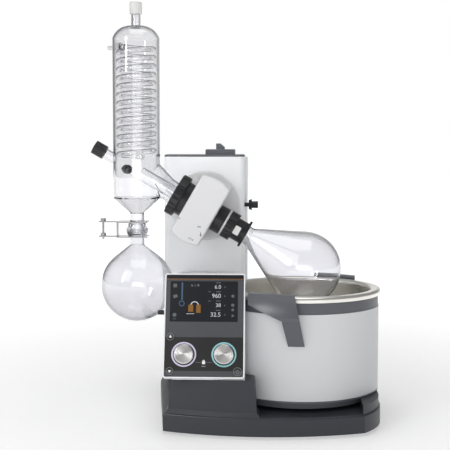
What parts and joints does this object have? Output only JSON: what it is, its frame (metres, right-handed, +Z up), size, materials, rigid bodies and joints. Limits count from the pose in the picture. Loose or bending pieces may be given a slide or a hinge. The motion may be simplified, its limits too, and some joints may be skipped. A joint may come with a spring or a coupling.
{
  "type": "rotary evaporator",
  "caption": "Bench rotary evaporator: upright glass condenser, tilting drive head on a lift tower, spinning flask over a round heating bath, control panel in front.",
  "frame": {"origin": "middle of the bounding box's bottom, on the table under the base", "axes": "+Z up, -Y to the front where the control panel faces, +X towards the heating bath"},
  "size_m": [0.5204, 0.44, 0.74],
  "materials": {
    "base_plastic": "matt dark grey moulding",
    "light_paint": "satin light grey",
    "dark_trim": "matt black",
    "fascia_film": "smooth dark grey",
    "screen": "glossy black",
    "ring_light": "clear light guide",
    "knob_metal": "turned",
    "plated_steel": "bright",
    "pan_steel": "polished rim, satin inside",
    "silver_paint": "satin silver",
    "clear_glass": "clear",
    "pale_polymer": "pale",
    "rubber": "black",
    "machine_metal": "machined",
    "board": "green laminate"
  },
  "bodies": {
    "frame": {"rubber_feet": "rubber", "base_plate": "plated_steel", "base_housing": "base_plastic", "mains_inlet": "dark_trim", "pedestal": "base_plastic", "console_housing": "light_paint", "side_port": "dark_trim", "panel_frame": "light_paint", "fascia": "fascia_film", "display": "screen", "control_board": "board", "light_rings": "ring_light", "column": "light_paint", "guide_brackets": "machine_metal", "guide_rods": "plated_steel", "lift_motor": "dark_trim", "bath_pan": "pan_steel", "bath_ring": "base_plastic", "bath_body": "silver_paint", "bath_skirt": "base_plastic", "bath_heater": "machine_metal", "bath_handles": "base_plastic"},
    "lift": {"tower_shell": "light_paint", "tower_cap": "dark_trim", "socket_block": "dark_trim", "pivot_housing": "machine_metal", "carriage": "machine_metal"},
    "screw": {"lead_screw": "plated_steel"},
    "tilt_lock": {"tilt_lock_knob": "dark_trim"},
    "rotation_dial": {"rotation_knob": "knob_metal"},
    "heating_dial": {"heating_knob": "knob_metal"},
    "up_key": {"up_button": "fascia_film"},
    "down_key": {"down_button": "fascia_film"},
    "standby_key": {"standby_button": "fascia_film"},
    "head": {"tilt_flange": "light_paint", "drum_housing": "light_paint", "shaft_bearings": "plated_steel", "drive_belt": "rubber", "drive_motor": "dark_trim", "mate_collar": "dark_trim", "vapour_seal": "pale_polymer", "condenser_jacket": "clear_glass", "cooling_coil": "clear_glass", "top_cap": "pale_polymer", "feed_cap": "dark_trim", "coolant_nozzles": "pale_polymer", "vacuum_nozzle": "dark_trim", "receiving_flask": "clear_glass", "clamp_forks": "plated_steel"},
    "union": {"coupling_nut": "dark_trim"},
    "pinion": {"motor_pinion": "machine_metal"},
    "rotor": {"drive_shaft": "machine_metal", "drive_collar": "dark_trim", "seal_ring": "pale_polymer", "flask_clip": "dark_trim", "clip_latch": "pale_polymer", "vapour_tube": "clear_glass", "evaporating_flask": "clear_glass"},
    "clamp_screw": {"clamp_thumbscrew": "plated_steel"}
  },
  "joints": [
    {"name": "lift_slide", "type": "slide", "parent": "frame", "child": "lift", "axis": [0, 0, 1], "range_m": [-0.04, 0.115]},
    {"name": "screw_turn", "type": "hinge", "parent": "frame", "child": "screw", "pos_m": [-0.063, 0.182, 0.2], "axis": [0, 0, 1], "continuous": true},
    {"name": "head_tilt", "type": "hinge", "parent": "lift", "child": "head", "pos_m": [-0.061, 0, 0.372], "axis": [0, 1, 0], "range_deg": [0, 15]},
    {"name": "lock_turn", "type": "hinge", "parent": "lift", "child": "tilt_lock", "pos_m": [0.013, 0.0955, 0.372], "axis": [1, 0, 0], "range_deg": [0, 180]},
    {"name": "flask_spin", "type": "hinge", "parent": "head", "child": "rotor", "pos_m": [-0.061, -0.038, 0.372], "axis": [0.866, 0, -0.5], "continuous": true},
    {"name": "pinion_spin", "type": "hinge", "parent": "head", "child": "pinion", "pos_m": [-0.061, 0.02, 0.372], "axis": [0.866, 0, -0.5], "continuous": true},
    {"name": "union_turn", "type": "hinge", "parent": "head", "child": "union", "pos_m": [-0.061, -0.038, 0.372], "axis": [0.866, 0, -0.5], "range_deg": [0, 180]},
    {"name": "clamp_screw_turn", "type": "hinge", "parent": "head", "child": "clamp_screw", "pos_m": [-0.2395, -0.038, 0.335], "axis": [0, 0, 1], "range_deg": [0, 270]},
    {"name": "rotation_dial_turn", "type": "hinge", "parent": "frame", "child": "rotation_dial", "pos_m": [-0.0814, -0.19884, 0.13879], "axis": [0, -0.9432, 0.3322], "continuous": true},
    {"name": "heating_dial_turn", "type": "hinge", "parent": "frame", "child": "heating_dial", "pos_m": [-0.0142, -0.19884, 0.13879], "axis": [0, -0.9432, 0.3322], "continuous": true},
    {"name": "up_press", "type": "slide", "parent": "frame", "child": "up_key", "axis": [0, 0.9432, -0.3322], "range_m": [0, 0.001], "stiffness_N_per_m": 400},
    {"name": "down_press", "type": "slide", "parent": "frame", "child": "down_key", "axis": [0, 0.9432, -0.3322], "range_m": [0, 0.001], "stiffness_N_per_m": 400},
    {"name": "standby_press", "type": "slide", "parent": "frame", "child": "standby_key", "axis": [0, 0.9432, -0.3322], "range_m": [0, 0.001], "stiffness_N_per_m": 400}
  ],
  "couplings": [
    {"joint": "screw_turn", "follows": "lift_slide", "rad_per_m": 628.32},
    {"joint": "pinion_spin", "follows": "flask_spin", "ratio": 2.5455}
  ]
}
